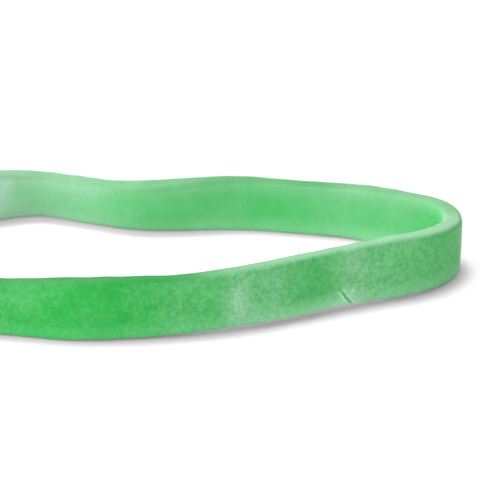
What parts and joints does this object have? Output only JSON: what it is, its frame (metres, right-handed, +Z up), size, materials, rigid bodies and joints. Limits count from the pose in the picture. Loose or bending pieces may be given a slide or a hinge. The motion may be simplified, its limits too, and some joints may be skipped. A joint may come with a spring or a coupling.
{
  "type": "resistance band",
  "caption": "Closed loop of flat elastic strip, standing on edge, that stretches along its length and whose two strands squeeze together.",
  "frame": {"origin": "bottom centre of the bounding box of the relaxed loop, on the floor it stands on", "axes": "+X along the loop towards its tight front bend, near strand on the -Y side, +Z up along the strip's width"},
  "size_m": [0.2684, 0.0842, 0.0139],
  "materials": {
    "band_rubber": "matte, lightly powdered natural rubber"
  },
  "bodies": {
    "front_end": {"front_bend": "band_rubber"},
    "front_strands": {"near_front_span": "band_rubber", "far_front_span": "band_rubber"},
    "near_middle": {"near_middle_span": "band_rubber"},
    "far_middle": {"far_middle_span": "band_rubber"},
    "near_rear": {"near_rear_span": "band_rubber"},
    "far_rear": {"far_rear_span": "band_rubber"},
    "far_tail": {"far_tail_span": "band_rubber"},
    "back_end": {"back_bend": "band_rubber"}
  },
  "joints": [
    {"name": "stretch", "type": "slide", "parent": "front_end", "child": "front_strands", "axis": [-1, 0, 0], "range_m": [0, 0.19], "stiffness_N_per_m": 450},
    {"name": "squeeze", "type": "slide", "parent": "front_strands", "child": "near_middle", "axis": [0, 1, 0], "range_m": [-0.012, 0.027]},
    {"name": "far_squeeze", "type": "slide", "parent": "front_strands", "child": "far_middle", "axis": [0, -1, 0], "range_m": [-0.012, 0.027]},
    {"name": "near_squeeze_return", "type": "slide", "parent": "near_middle", "child": "near_rear", "axis": [0, -1, 0], "range_m": [-0.012, 0.027]},
    {"name": "far_squeeze_return", "type": "slide", "parent": "far_middle", "child": "far_rear", "axis": [0, 1, 0], "range_m": [-0.012, 0.027]},
    {"name": "rear_stretch", "type": "slide", "parent": "near_rear", "child": "back_end", "axis": [-1, 0, 0], "range_m": [0, 0.076]},
    {"name": "far_rear_stretch", "type": "slide", "parent": "far_rear", "child": "far_tail", "axis": [-1, 0, 0], "range_m": [0, 0.076]}
  ],
  "couplings": [
    {"joint": "far_squeeze", "follows": "squeeze", "ratio": 1},
    {"joint": "near_squeeze_return", "follows": "squeeze", "ratio": 1},
    {"joint": "far_squeeze_return", "follows": "squeeze", "ratio": 1},
    {"joint": "rear_stretch", "follows": "stretch", "ratio": 0.4},
    {"joint": "far_rear_stretch", "follows": "stretch", "ratio": 0.4}
  ]
}
